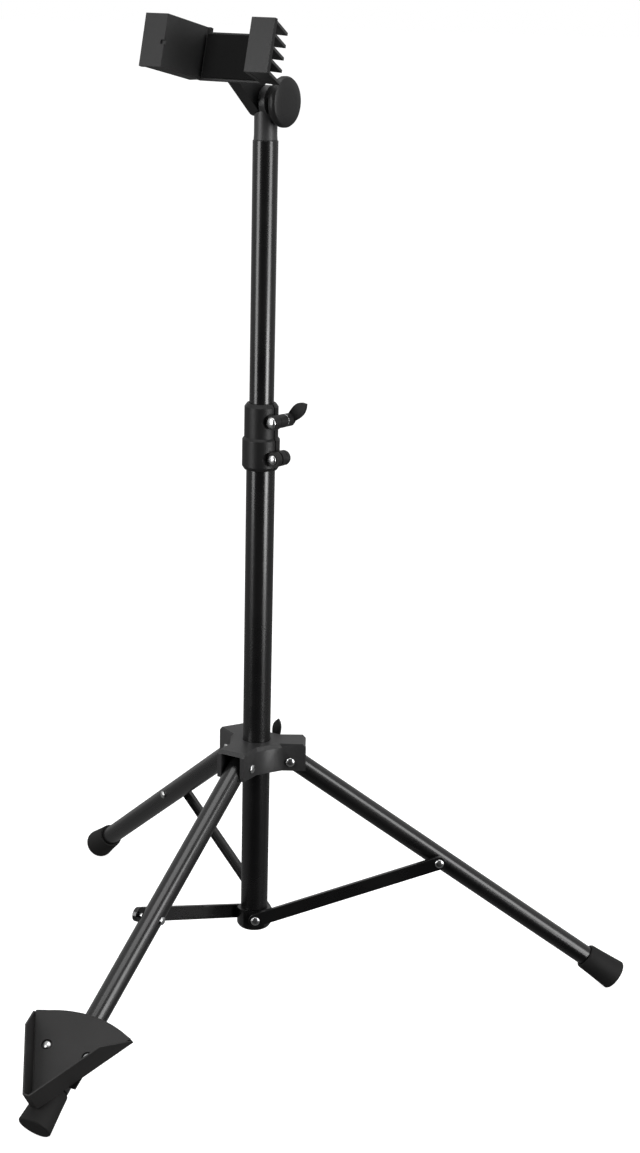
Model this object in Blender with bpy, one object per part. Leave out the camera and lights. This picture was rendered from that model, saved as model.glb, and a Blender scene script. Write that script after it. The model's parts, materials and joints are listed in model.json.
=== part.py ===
"""Folding tripod stand for a woodwind instrument, with a foot tray and a tilting cradle.

Metres, +Z up, the floor at z = 0.  The tray leg points to -Y and the other two legs
lie 120 degrees from it.  The origin is the middle of the footprint, so the mast stands
MAST_Y behind it.  Each leg's own frame has +X out along the leg, +Y across it and +Z
square to its top side.
"""
import bpy
import bmesh
from math import acos, asin, atan2, cos, degrees, hypot, pi, radians, sin, sqrt
from mathutils import Matrix, Vector

# ---- driving dimensions -----------------------------------------------------------
GAP = 0.0003                    # clearance between touching pieces

LOWER_TUBE_R = 0.0125
LOWER_TUBE_BORE_R = 0.0112
UPPER_TUBE_R = 0.0106
UPPER_TUBE_BORE_R = 0.0095
LOWER_TUBE_Z = (0.0781, 0.5207)
UPPER_TUBE_Z = (0.3100, 0.7637)

LEG_AZIMUTHS = {"front": -90.0, "right": 30.0, "left": 150.0}
LEG_SLOPE = radians(34.5)       # below the horizontal when spread
LEG_FOLDED = radians(88.0)
LEG_R = 0.00935
LEG_BORE_R = 0.0082
LEG_LENGTH = 0.382              # hub pivot to the end of the foot cap
HUB_PIVOT_R = 0.031
CAP_LENGTH = 0.036
CAP_MOUTH_R = 0.0121
CAP_END_R = 0.0146
FLOOR_TRIM = 0.0008             # how much of each cap's rim is worn flat

HUB_HEIGHT = 0.0257
HUB_PIVOT_UP = 0.0085           # pivot above the hub's underside
HUB_ARM_REACH = 0.045
HUB_ARM_HALF = 0.014
HUB_CORE_R = 0.0272
HUB_CHAMFER = (0.0026, 0.0034)
HUB_SLOT_HALF = 0.0097

BRACE_ON_LEG = 0.170            # brace rivet, measured down the leg from the hub pivot
BRACE_BASE_R = 0.0015
BRACE_BASE_Z = 0.0694
BRACE_HALF = 0.0064
BRACE_SIDE = (0.0130, 0.0170)   # distance of the brace's two sides from the leg's plane
BRACE_SHEET = 0.0012

BRACKET_Z = (0.0574, 0.0778)
BRACKET_FLAT = 0.0127
BRACKET_LOBE_R = 0.0160

SLEEVE_Z = (0.4930, 0.5210, 0.5500)
SLEEVE_R = (0.0163, 0.0147)     # lower and upper section
CLAMP_TURN = radians(-10.0)     # its bolts run square to this azimuth
CLAMP_BOLT = (0.0170, 0.5357)   # distance from the mast's axis, and height
FIXING_BOLT = (0.0186, 0.5042)
CLAMP_BOSSES = ((0.0064, -0.0060, 0.0), (0.0057, -0.001, 0.0095))
FIXING_BOSSES = ((0.0066, -0.0060, 0.0060),)

TRAY_START = 0.2775             # middle of the curved edge, down the leg
TRAY_REST = 0.00975             # the sheet's underside there, above the leg's axis
TRAY_RISE = radians(2.85)       # it rises from there to clear the foot cap
TRAY_SHEET = 0.0015
TRAY_CORNER = (0.0118, 0.0505)  # from the middle of the curved edge: outwards, across
TRAY_APEX = (0.0935, 0.0032)
TRAY_WALL = 0.0185
TRAY_RIVET = (0.0378, 0.0205)
SADDLE_SPAN = (0.3060, 0.3445)
SADDLE_HALF = 0.0245
SADDLE_SHEET = 0.0011

TILT_Z = 0.794
HEAD_TURN = radians(-4.4)
CRADLE_TILT = radians(14.3)
CRADLE_REACH = 0.050            # mast axis to the cradle's back, inside
CRADLE_BASE_Z = 0.8096
CRADLE_BACK_HALF = 0.029
CRADLE_ARM = 0.0401
CRADLE_FLARE = radians(15.9)
CRADLE_FLANGE = 0.0219
CRADLE_HEIGHT = 0.0405
CRADLE_BACK_HEIGHT = 0.0368
CRADLE_WALL = 0.0036
RIB_COUNT = 5
RIB_SHEET = 0.0024
RIB_INSET = 0.0005
RIB_TIP = (0.0440, -0.0060)     # across, and forward of the cradle's back

KNUCKLE_R = 0.0122
STRUT_SIDE = (-0.0117, -0.0003)
CHEEK_SIDE = (0.0003, 0.0066)
TILT_BOLT_R = 0.0028
KNOB_R = 0.0195

# ---- dimensions that follow -------------------------------------------------------
CAP_END_DROP = LEG_LENGTH * sin(LEG_SLOPE) + CAP_END_R * cos(LEG_SLOPE)
HUB_PIVOT_Z = CAP_END_DROP - FLOOR_TRIM
HUB_Z = (HUB_PIVOT_Z - HUB_PIVOT_UP, HUB_PIVOT_Z - HUB_PIVOT_UP + HUB_HEIGHT)
FOOT_R = HUB_PIVOT_R + LEG_LENGTH * cos(LEG_SLOPE)
FRONT_REACH = FOOT_R + CAP_END_R * sin(LEG_SLOPE)
REAR_REACH = 0.5 * FOOT_R + CAP_END_R * hypot(0.5 * sin(LEG_SLOPE), cos(radians(30)))
MAST_Y = 0.5 * (FRONT_REACH - REAR_REACH)
BRACE_RISE = HUB_PIVOT_Z - BRACE_ON_LEG * sin(LEG_SLOPE) - BRACE_BASE_Z
BRACE_RUN = HUB_PIVOT_R + BRACE_ON_LEG * cos(LEG_SLOPE) - BRACE_BASE_R
BRACE_LENGTH = hypot(BRACE_RISE, BRACE_RUN)
BRACE_SLOPE = atan2(BRACE_RISE, BRACE_RUN)

# ---- materials: colour, roughness, metallic ---------------------------------------
FINISHES = {
    "powder_coat": ((0.012, 0.012, 0.013), 0.30, 0.0),
    "black_plastic": ((0.030, 0.030, 0.031), 0.50, 0.0),
    "rubber": ((0.020, 0.020, 0.020), 0.80, 0.0),
    "zinc": ((0.72, 0.73, 0.74), 0.28, 1.0),
}

# ---- scene ------------------------------------------------------------------------
for old in list(bpy.data.objects):
    bpy.data.objects.remove(old)

PARTS = bpy.data.collections.new("instrument_stand")
CUTTERS = bpy.data.collections.new("cutters")
bpy.context.scene.collection.children.link(PARTS)
bpy.context.scene.collection.children.link(CUTTERS)


def finish_material(name, finish):
    """A material of the piece's own."""
    colour, roughness, metallic = FINISHES[finish]
    material = bpy.data.materials.new(name)
    material.use_nodes = True
    shader = material.node_tree.nodes["Principled BSDF"]
    shader.inputs["Base Color"].default_value = (*colour, 1.0)
    shader.inputs["Roughness"].default_value = roughness
    shader.inputs["Metallic"].default_value = metallic
    return material


def pivot(name, location, rotation=None, parent=None):
    """An empty on a joint's axis, or at the start of a piece's own frame."""
    empty = bpy.data.objects.new(name, None)
    empty.empty_display_size = 0.02
    PARTS.objects.link(empty)
    empty.parent = parent
    turn = rotation.to_4x4() if rotation else Matrix.Identity(4)
    empty.matrix_local = Matrix.Translation(location) @ turn
    return empty


def piece(name, bm, finish, parent, smooth=35.0):
    """Turn a bmesh into a named piece of the stand."""
    bmesh.ops.recalc_face_normals(bm, faces=bm.faces)
    mesh = bpy.data.meshes.new(name)
    bm.to_mesh(mesh)
    bm.free()
    mesh.shade_smooth()
    mesh.set_sharp_from_angle(angle=radians(smooth))
    mesh.materials.append(finish_material(name, finish))
    obj = bpy.data.objects.new(name, mesh)
    PARTS.objects.link(obj)
    obj.parent = parent
    return obj


def combine(obj, bm, operation):
    """Cut a shape out of a piece, or join one to it."""
    bmesh.ops.recalc_face_normals(bm, faces=bm.faces)
    mesh = bpy.data.meshes.new(obj.name + "_tool")
    bm.to_mesh(mesh)
    bm.free()
    tool = bpy.data.objects.new(obj.name + "_tool", mesh)
    CUTTERS.objects.link(tool)
    tool.parent = obj.parent
    tool.hide_render = True
    tool.display_type = 'WIRE'
    modifier = obj.modifiers.new(operation.lower(), 'BOOLEAN')
    modifier.operation = operation
    modifier.solver = 'EXACT'
    modifier.object = tool


def cut(obj, bm):
    combine(obj, bm, 'DIFFERENCE')


def join(obj, bm):
    combine(obj, bm, 'UNION')


# ---- shapes -----------------------------------------------------------------------
AXIS_TURN = {
    "X": Matrix.Rotation(pi / 2, 4, 'Y'),
    "Y": Matrix.Rotation(-pi / 2, 4, 'X'),
    "Z": Matrix.Identity(4),
}


def rod(radius, start, end, axis="Z", at=(0, 0, 0), end_radius=None, sides=24, bm=None):
    """A cylinder or cone along one axis."""
    bm = bm or bmesh.new()
    place = Matrix.Translation(at) @ AXIS_TURN[axis] @ Matrix.Translation((0, 0, (start + end) / 2))
    top = radius if end_radius is None else end_radius
    bmesh.ops.create_cone(bm, cap_ends=True, segments=sides, radius1=radius, radius2=top,
                          depth=end - start, matrix=place)
    return bm


def turned(profile, axis="Z", at=(0, 0, 0), sides=30, bm=None):
    """A closed (distance from axis, position along axis) profile, spun round the axis."""
    bm = bm or bmesh.new()
    verts = [bm.verts.new((r, 0, z)) for r, z in profile]
    edges = [bm.edges.new((a, b)) for a, b in zip(verts, verts[1:] + verts[:1])
             if a.co.x > 1e-7 or b.co.x > 1e-7]
    made = bmesh.ops.spin(bm, geom=verts + edges, cent=(0, 0, 0), axis=(0, 0, 1),
                          angle=2 * pi, steps=sides, use_merge=True)
    bmesh.ops.remove_doubles(bm, verts=bm.verts, dist=1e-7)
    bmesh.ops.transform(bm, matrix=Matrix.Translation(at) @ AXIS_TURN[axis], verts=bm.verts)
    return bm


def block(low, high, bm=None):
    """A box between two corners."""
    bm = bm or bmesh.new()
    size = [b - a for a, b in zip(low, high)]
    middle = [(a + b) / 2 for a, b in zip(low, high)]
    place = Matrix.Translation(middle) @ Matrix.Diagonal((*size, 1.0))
    bmesh.ops.create_cube(bm, size=1.0, matrix=place)
    return bm


def prism(outline, low, high, axis="Z", bm=None):
    """A flat outline extruded along one axis.

    Outline points are (x, y) for Z, (x, z) for Y and (y, z) for X.
    """
    bm = bm or bmesh.new()
    spot = {"Z": lambda a, b: (a, b, low), "Y": lambda a, b: (a, low, b),
            "X": lambda a, b: (low, a, b)}[axis]
    shift = {"Z": (0, 0, high - low), "Y": (0, high - low, 0), "X": (high - low, 0, 0)}[axis]
    face = bm.faces.new([bm.verts.new(spot(a, b)) for a, b in outline])
    grown = bmesh.ops.extrude_face_region(bm, geom=[face], use_keep_orig=True)
    moved = [g for g in grown["geom"] if isinstance(g, bmesh.types.BMVert)]
    bmesh.ops.translate(bm, vec=shift, verts=moved)
    return bm


def arc(centre, radius, start, end, steps):
    """Points along a circle, from one angle in degrees to another."""
    angles = [radians(start + (end - start) * i / steps) for i in range(steps + 1)]
    return [(centre[0] + radius * cos(a), centre[1] + radius * sin(a)) for a in angles]


def stadium(length, radius, steps=10):
    """A bar outline with round ends centred on 0 and on length."""
    return arc((length, 0), radius, -90, 90, steps) + arc((0, 0), radius, 90, 270, steps)


def dome_head(radius, height, steps=3):
    """Profile of a round rivet or bolt head that sits on z = 0."""
    curve = [(radius * cos(a), height * (0.25 + 0.75 * sin(a)))
             for a in (pi / 2 * i / steps for i in range(steps))]
    return curve + [(0, height), (0, 0), (radius, 0)]


def headed_pin(radius, start, end, head_radius, head_height, sides=12):
    """A rivet along +Y whose head stands beyond its start, at the -Y end."""
    head = [(r, -z) for r, z in dome_head(head_radius, head_height)[:-2]]
    profile = [(r, start + z) for r, z in head]
    profile += [(0, end), (radius, end), (radius, start), (head_radius, start)]
    return turned(profile, axis="Y", sides=sides)


def petal(length, half_width, root, steps=7):
    """One wing of a wing nut: a leaf from root to length, fattest before its middle."""
    upper = []
    for i in range(steps + 1):
        t = i / steps
        upper.append((root + (length - root) * t, half_width * (1 - t ** 3) * (0.55 + 0.65 * t)))
    lower = [(x, -0.8 * y) for x, y in reversed(upper[:-1])]
    return upper + lower


def wing_screw(name, finish, parent, boss, wing, wing_angles, shank):
    """A turned boss along +Y with leaf wings, and a shank towards -Y."""
    boss_radius, boss_length = boss
    shank_radius, shank_length = shank
    wing_length, wing_half = wing
    profile = [(0, -shank_length), (shank_radius, -shank_length), (shank_radius, 0),
               (boss_radius, 0), (boss_radius, 0.75 * boss_length),
               (0.8 * boss_radius, boss_length), (0, boss_length)]
    obj = piece(name, turned(profile, axis="Y", sides=16), finish, parent)
    for angle in wing_angles:
        leaf = prism(petal(wing_length, wing_half, 0.3 * boss_radius), boss_length - 0.0034,
                     boss_length - 0.0008, axis="Y")
        turn = Matrix.Rotation(-radians(angle), 4, 'Y')
        bmesh.ops.transform(leaf, matrix=turn, verts=leaf.verts)
        join(obj, leaf)
    return obj


# ---- mast -------------------------------------------------------------------------
def build_mast(mast):
    low, high = LOWER_TUBE_Z
    ring = [(LOWER_TUBE_R, low), (LOWER_TUBE_BORE_R, low), (LOWER_TUBE_BORE_R, high), (LOWER_TUBE_R, high)]
    piece("lower_tube", turned(ring, sides=36), "powder_coat", mast)

    slider = pivot("height_slide", (0, 0, UPPER_TUBE_Z[0]), parent=mast)
    length = UPPER_TUBE_Z[1] - UPPER_TUBE_Z[0]
    ring = [(UPPER_TUBE_R, 0), (UPPER_TUBE_BORE_R, 0), (UPPER_TUBE_BORE_R, length), (UPPER_TUBE_R, length)]
    piece("upper_tube", turned(ring, sides=36), "powder_coat", slider)

    plug_r = UPPER_TUBE_BORE_R - GAP
    flange_r = LOWER_TUBE_BORE_R - GAP
    plug = [(0, -0.004 - GAP), (flange_r, -0.004 - GAP), (flange_r, -GAP), (plug_r, -GAP),
            (plug_r, 0.011), (plug_r - 0.001, 0.012), (0, 0.012)]
    piece("upper_tube_guide_plug", turned(plug, sides=24), "black_plastic", slider)


def build_sleeve(mast):
    """The height clamp: a split sleeve on top of the lower tube, with two cross bolts."""
    frame = pivot("clamp", (0, 0, 0), Matrix.Rotation(CLAMP_TURN, 3, 'Z'), mast)
    base, step, top = SLEEVE_Z
    wide, slim = SLEEVE_R
    lower_bore = LOWER_TUBE_R + GAP
    upper_bore = UPPER_TUBE_R + GAP
    profile = [(0, base), (wide - 0.002, base), (wide, base + 0.003), (wide, step - 0.002),
               (slim, step), (slim, top - 0.003), (slim - 0.0022, top), (0, top)]
    sleeve = piece("height_clamp_sleeve", turned(profile, sides=32), "black_plastic", frame)
    for (x, z), bosses in ((CLAMP_BOLT, CLAMP_BOSSES), (FIXING_BOLT, FIXING_BOSSES)):
        front, back = bosses[0][1], bosses[-1][2]
        for radius, low, high in bosses:
            low = low - 0.001 if low == front else low
            high = high + 0.001 if high == back else high
            join(sleeve, rod(radius, low, high, axis="Y", at=(x, 0, z), sides=24))
        cut(sleeve, rod(0.0071, -0.03, front, axis="Y", at=(x, 0, z), sides=28))
        cut(sleeve, rod(0.0071, back, 0.03, axis="Y", at=(x, 0, z), sides=28))
    cut(sleeve, rod(upper_bore, step - 0.001, top + 0.01, sides=36))
    cut(sleeve, rod(lower_bore, base - 0.01, step + 0.0003, sides=36))
    cut(sleeve, block((0.005, -0.0006, base - 0.01), (0.03, 0.0006, top + 0.01)))
    for x, z in (CLAMP_BOLT, FIXING_BOLT):
        cut(sleeve, rod(0.0027, -0.02, 0.02, axis="Y", at=(x, 0, z), sides=12))

    x, z = CLAMP_BOLT
    front = CLAMP_BOSSES[0][1] - GAP
    back = CLAMP_BOSSES[-1][2] + GAP
    spot = pivot("clamp_bolt_axis", (x, 0, z), parent=frame)
    piece("height_clamp_bolt", headed_pin(0.0024, front, back + 0.0082, 0.0050, 0.0028), "zinc", spot)
    washer = [(0.0027, back), (0.0056, back), (0.0056, back + 0.0010), (0.0027, back + 0.0010)]
    piece("height_clamp_washer", turned(washer, axis="Y", sides=16), "zinc", spot)
    nut_at = pivot("wing_nut_axis", (0, back + 0.0013, 0), parent=spot)
    nut = wing_screw("height_wing_nut", "black_plastic", nut_at, (0.0056, 0.0093), (0.0236, 0.0084), (41,),
                     (0.0056, 0.0001))
    cut(nut, rod(0.0027, -0.01, 0.0074, axis="Y", sides=12))

    x, z = FIXING_BOLT
    front = FIXING_BOSSES[0][1] - GAP
    back = FIXING_BOSSES[-1][2] + GAP
    spot = pivot("fixing_bolt_axis", (x, 0, z), parent=frame)
    piece("sleeve_fixing_bolt", headed_pin(0.0024, front, back + 0.0040, 0.0043, 0.0024), "zinc", spot)
    cap = [(0.0027, back), (0.0061, back), (0.0065, back + 0.0006), (0.0065, back + 0.0030),
           (0.0058, back + 0.0048), (0.0040, back + 0.0060), (0, back + 0.0064), (0, back + 0.0046),
           (0.0027, back + 0.0046)]
    piece("sleeve_cap_nut", turned(cap, axis="Y", sides=20), "black_plastic", spot)


# ---- hub and legs -----------------------------------------------------------------
def hub_outline():
    corner_r = hypot(HUB_ARM_REACH, HUB_ARM_HALF)
    corner = degrees(atan2(HUB_ARM_HALF, HUB_ARM_REACH))
    root = degrees(asin(HUB_ARM_HALF / HUB_CORE_R))
    points = []
    for azimuth in sorted(LEG_AZIMUTHS.values()):
        for radius, turn in ((HUB_CORE_R, -root), (corner_r, -corner),
                             (corner_r, corner), (HUB_CORE_R, root)):
            angle = radians(azimuth + turn)
            points.append((radius * cos(angle), radius * sin(angle)))
    return points


def build_hub(hub):
    """Moulded three-way fork that slides on the lower tube; z is from its pivots."""
    low = -HUB_PIVOT_UP
    high = low + HUB_HEIGHT
    inset, rise = HUB_CHAMFER
    bm = prism(hub_outline(), low, high - rise)
    bm.faces.ensure_lookup_table()
    top = [f for f in bm.faces if all(v.co.z > high - rise - 1e-6 for v in f.verts)]
    cap = bmesh.ops.extrude_face_region(bm, geom=top)
    ring = [g for g in cap["geom"] if isinstance(g, bmesh.types.BMVert)]
    bmesh.ops.delete(bm, geom=top, context='FACES_ONLY')
    for vert in ring:
        vert.co.z = high
        flat = Vector((vert.co.x, vert.co.y))
        shrink = flat.normalized() * inset * 1.15
        vert.co.x -= shrink.x
        vert.co.y -= shrink.y
    body = piece("hub", bm, "black_plastic", hub, smooth=25)
    cut(body, rod(LOWER_TUBE_R + GAP, -0.05, 0.05, sides=36))
    for azimuth in LEG_AZIMUTHS.values():
        turn = Matrix.Rotation(radians(azimuth), 4, 'Z')
        slot = block((0.0172, -HUB_SLOT_HALF, -0.03), (0.06, HUB_SLOT_HALF, 0.0140))
        hole = rod(0.0027, -0.03, 0.03, axis="Y", at=(HUB_PIVOT_R, 0, 0), sides=12)
        for bm in (slot, hole):
            bmesh.ops.transform(bm, matrix=turn, verts=bm.verts)
            cut(body, bm)
    cut(body, rod(0.0034, 0.005, 0.05, axis="Y", at=(0, 0, 0.006), sides=12))

    axis = pivot("hub_lock_axis", (0, 0.0268, 0.006), parent=hub)
    wing_screw("hub_lock_screw", "black_plastic", axis, (0.0052, 0.0105), (0.0205, 0.0062), (84, 264),
               (0.0030, 0.0137))


def build_leg(name, azimuth, hub):
    turn = Matrix.Rotation(radians(azimuth), 3, 'Z') @ Matrix.Rotation(LEG_SLOPE, 3, 'Y')
    spot = Matrix.Rotation(radians(azimuth), 3, 'Z') @ Vector((HUB_PIVOT_R, 0, 0))
    leg = pivot("leg_pivot_" + name, spot, turn, hub)

    end = LEG_LENGTH - 0.007
    ring = [(LEG_R, -0.0095), (LEG_BORE_R, -0.0095), (LEG_BORE_R, end), (LEG_R, end)]
    tube = piece("leg_" + name, turned(ring, axis="X", sides=28), "powder_coat", leg)
    cut(tube, rod(0.0027, -0.02, 0.02, axis="Y", sides=12))
    cut(tube, rod(0.0027, -0.02, 0.02, axis="Y", at=(BRACE_ON_LEG, 0, 0), sides=12))

    mouth = LEG_LENGTH - CAP_LENGTH
    bore = LEG_R + GAP
    waist = CAP_MOUTH_R + 0.35 * (CAP_END_R - CAP_MOUTH_R)
    profile = [(bore, mouth), (CAP_MOUTH_R - 0.0006, mouth), (CAP_MOUTH_R, mouth + 0.001),
               (waist, mouth + 0.4 * CAP_LENGTH), (CAP_END_R, LEG_LENGTH - 0.0012),
               (CAP_END_R - 0.001, LEG_LENGTH), (0, LEG_LENGTH), (0, end + GAP), (bore, end + GAP)]
    cap = piece("foot_cap_" + name, turned(profile, axis="X", sides=30), "rubber", leg)
    floor = block((-0.05, -0.05, -0.05), (0.05, 0.05, 0))
    ground = Matrix.Rotation(-LEG_SLOPE, 4, 'Y') @ Matrix.Translation((0, 0, -HUB_PIVOT_Z))
    centre = Matrix.Translation((LEG_LENGTH * cos(LEG_SLOPE), 0, 0))
    bmesh.ops.transform(floor, matrix=ground @ centre, verts=floor.verts)
    cut(cap, floor)

    tail = headed_pin(0.0024, -LEG_R - 0.0006, LEG_R, 0.0036, 0.0018)
    bmesh.ops.transform(tail, matrix=Matrix.Translation((BRACE_ON_LEG, 0, 0))
                        @ Matrix.Rotation(pi, 4, 'Z'), verts=tail.verts)
    piece("leg_rivet_tail_" + name, tail, "zinc", leg)

    upright = pivot("hub_rivet_axis_" + name, spot, Matrix.Rotation(radians(azimuth), 3, 'Z'), hub)
    reach = HUB_ARM_HALF + GAP
    rivet = headed_pin(0.0024, -reach, reach, 0.0042, 0.0024)
    object_ = piece("hub_rivet_" + name, rivet, "zinc", upright)
    tail = turned(dome_head(0.0040, 0.0018), axis="Y", at=(0, reach - 0.0001, 0), sides=12)
    join(object_, tail)
    return leg


def build_brace(name, azimuth, mast):
    """Pressed channel from the bottom bracket to the leg, beside the leg's plane."""
    heading = Matrix.Rotation(radians(azimuth), 3, 'Z')
    spot = heading @ Vector((BRACE_BASE_R, 0, BRACE_BASE_Z))
    brace = pivot("brace_pivot_" + name, spot, heading @ Matrix.Rotation(-BRACE_SLOPE, 3, 'Y'), mast)
    inner, outer = BRACE_SIDE
    bar = piece("brace_" + name, prism(stadium(BRACE_LENGTH, BRACE_HALF), -outer, -inner, axis="Y"),
                "powder_coat", brace)
    pocket = stadium(BRACE_LENGTH, BRACE_HALF - BRACE_SHEET)
    cut(bar, prism(pocket, -outer + BRACE_SHEET, 0, axis="Y"))
    for x in (0, BRACE_LENGTH):
        cut(bar, rod(0.0027, -0.03, 0.0, axis="Y", at=(x, 0, 0), sides=12))

    head_at = -outer - GAP
    end = pivot("brace_end_" + name, (BRACE_LENGTH, 0, 0), parent=brace)
    piece("brace_rivet_" + name, headed_pin(0.0024, head_at, -LEG_R - GAP, 0.0042, 0.0020), "zinc", end)
    still = pivot("base_rivet_axis_" + name, spot, heading, mast)
    piece("base_rivet_" + name, headed_pin(0.0024, head_at, -0.0084, 0.0042, 0.0020), "zinc", still)


def build_base_bracket(mast):
    """Three-sided plug that closes the tube and carries the braces."""
    half = degrees(acos(BRACKET_FLAT / BRACKET_LOBE_R))
    outline = []
    for corner in (0, 120, 240):
        outline += arc((0, 0), BRACKET_LOBE_R, corner - 60 + half, corner + 60 - half, 6)
    low, high = BRACKET_Z
    bracket = piece("base_bracket", prism(outline, low - 0.001, high), "powder_coat", mast, smooth=25)
    cup = [(0, low), (0.0108, low)]
    for a in (15, 30, 45, 60, 75, 90):
        cup.append((0.0108 + 0.0056 * sin(radians(a)), low + 0.0068 * (1 - cos(radians(a)))))
    cup += [(0.0164, high + 0.01), (0, high + 0.01)]
    combine(bracket, turned(cup, sides=48), 'INTERSECT')
    join(bracket, rod(LOWER_TUBE_BORE_R - GAP, high - 0.004, high + 0.016, sides=24))
    for azimuth in LEG_AZIMUTHS.values():
        hole = rod(0.0027, -0.03, -0.0081, axis="Y", at=(BRACE_BASE_R, 0, BRACE_BASE_Z), sides=12)
        bmesh.ops.transform(hole, matrix=Matrix.Rotation(radians(azimuth), 4, 'Z'), verts=hole.verts)
        cut(bracket, hole)


# ---- tray -------------------------------------------------------------------------
def tray_side(offset=0.0):
    """Corner and apex of the tray's +Y side, moved inwards by an offset."""
    corner = Vector(TRAY_CORNER)
    apex = Vector(TRAY_APEX)
    along = (apex - corner).normalized()
    inward = Vector((along.y, -along.x))
    inward = inward if inward.y < 0 else -inward
    return corner + inward * offset, apex + inward * offset


def tray_arc(offset, steps):
    """The tray's curved inner edge, from +Y to -Y."""
    corner, _ = tray_side(offset)
    rise = corner.x - offset
    radius = (corner.y ** 2 + rise ** 2) / (2 * rise)
    half = degrees(asin(corner.y / radius))
    return arc((offset + radius, 0), radius, 180 - half, 180 + half, steps)


def build_tray(leg):
    """Sector-shaped sheet on top of the leg, with walls folded up along its straight sides."""
    seat = pivot("tray_seat", (TRAY_START, 0, TRAY_REST), Matrix.Rotation(-TRAY_RISE, 3, 'Y'), leg)
    corner, apex = tray_side()
    top = TRAY_SHEET + TRAY_WALL
    outline = tray_arc(0, 16) + [(apex.x, -apex.y), (apex.x, apex.y)]
    tray = piece("tray", prism(outline, 0, top), "black_plastic", seat, smooth=30)
    inner_corner, inner_apex = tray_side(TRAY_SHEET)
    along = (inner_apex - inner_corner).normalized()
    far = inner_corner - along * 0.02
    near = inner_corner + along * ((apex.x - TRAY_SHEET - inner_corner.x) / along.x)
    well = [(far.x, far.y), (far.x, -far.y), (near.x, -near.y), (near.x, near.y)]
    cut(tray, prism(well, TRAY_SHEET, 0.05))
    ramp = [(-0.02, TRAY_SHEET), (corner.x - 0.001, TRAY_SHEET),
            (corner.lerp(apex, 0.27).x, top + 0.0001), (-0.02, top + 0.01)]
    cut(tray, prism(ramp, -0.08, 0.08, axis="Y"))
    x, y = TRAY_RIVET
    for side in (-1, 1):
        cut(tray, rod(0.0024, -0.01, 0.03, at=(x, side * y, 0), sides=12))

    inset = TRAY_SHEET + 0.0012
    near = tray_side(inset)[1]
    outline = tray_arc(inset, 16) + [(near.x - 0.003, -near.y - 0.0012), (near.x - 0.003, near.y + 0.0012)]
    floor = TRAY_SHEET + GAP
    mat = piece("tray_mat", prism(outline, floor, floor + 0.0015), "rubber", seat)
    for side in (-1, 1):
        cut(mat, rod(0.0048, -0.01, 0.03, at=(x, side * y, 0), sides=16))
        rivet = [(r, floor + z) for r, z in dome_head(0.0038, 0.0020)[:-2]]
        rivet += [(0, -0.0030), (0.0021, -0.0030), (0.0021, floor), (0.0038, floor)]
        turned_rivet = turned(rivet, at=(x, side * y, 0), sides=12)
        piece("tray_rivet_" + ("left" if side < 0 else "right"), turned_rivet, "zinc", seat)
    build_saddle(leg)


def build_saddle(leg):
    """Strap round the leg whose two feet hold the tray's rivets."""
    inner = LEG_R + GAP
    outer = inner + SADDLE_SHEET
    start, end = SADDLE_SPAN
    strap = [(-outer, 0.018)] + arc((0, 0), outer, 180, 360, 20) + [(outer, 0.018), (inner, 0.018)]
    strap += arc((0, 0), inner, 360, 180, 20) + [(-inner, 0.018)]
    saddle = piece("tray_saddle", prism(strap, start, end, axis="X"), "powder_coat", leg)
    to_leg = Matrix.Translation((TRAY_START, 0, TRAY_REST)) @ Matrix.Rotation(-TRAY_RISE, 4, 'Y')
    reach = 0.0004
    for side in (-1, 1):
        across = sorted((side * (inner + 0.0002), side * SADDLE_HALF))
        foot = block((start - TRAY_START + reach, across[0], -GAP - SADDLE_SHEET),
                     (end - TRAY_START - reach, across[1], 0.0005))
        bmesh.ops.transform(foot, matrix=to_leg, verts=foot.verts)
        join(saddle, foot)
    above = block((-0.05, -0.05, -GAP), (0.12, 0.05, 0.05))
    bmesh.ops.transform(above, matrix=to_leg, verts=above.verts)
    cut(saddle, above)
    x, y = TRAY_RIVET
    for side in (-1, 1):
        hole = rod(0.0024, -0.01, 0.03, at=(x, side * y, 0), sides=12)
        bmesh.ops.transform(hole, matrix=to_leg, verts=hole.verts)
        cut(saddle, hole)


# ---- head -------------------------------------------------------------------------
def build_yoke(head):
    """Neck that turns in the upper tube, with the fixed half of the tilt joint."""
    tube_top = UPPER_TUBE_Z[1] - TILT_Z
    insert = [(0, tube_top - 0.028), (UPPER_TUBE_BORE_R - 0.0012, tube_top - 0.028),
              (UPPER_TUBE_BORE_R - GAP, tube_top - 0.026), (UPPER_TUBE_BORE_R - GAP, tube_top + GAP),
              (0.0099, tube_top + GAP), (0.0096, tube_top + 0.004), (0.0096, -0.003), (0, -0.003)]
    yoke = piece("yoke", turned(insert, sides=30), "black_plastic", head)
    low, high = CHEEK_SIDE
    join(yoke, rod(KNUCKLE_R, low, high, axis="X", sides=28))
    join(yoke, rod(0.0080, high - 0.001, high + 0.0044, axis="X", end_radius=0.0072, sides=20))
    clear = KNUCKLE_R + 0.0006
    cut(yoke, rod(clear, -0.03, low, axis="X", sides=30))
    cut(yoke, rod(TILT_BOLT_R + GAP, -0.03, 0.03, axis="X", sides=12))


def cradle_plan():
    """Outline of the cradle seen from above, half by half: across, and forward."""
    w = CRADLE_BACK_HALF
    arm_x = w + CRADLE_ARM * sin(CRADLE_FLARE)
    arm_y = CRADLE_ARM * cos(CRADLE_FLARE)
    t = CRADLE_WALL
    out_x = t * cos(CRADLE_FLARE)
    out_y = -t * sin(CRADLE_FLARE)
    inner = [(w, 0), (arm_x, arm_y), (arm_x + CRADLE_FLANGE, arm_y)]
    back_lean = (arm_y - t - out_y) / cos(CRADLE_FLARE)
    outer = [(arm_x + CRADLE_FLANGE, arm_y - t),
             (w + out_x + back_lean * sin(CRADLE_FLARE), arm_y - t),
             (w + out_x * 0.9, -t)]
    right = inner + outer
    left = [(-x, y) for x, y in reversed(right)]
    return right + left


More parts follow.
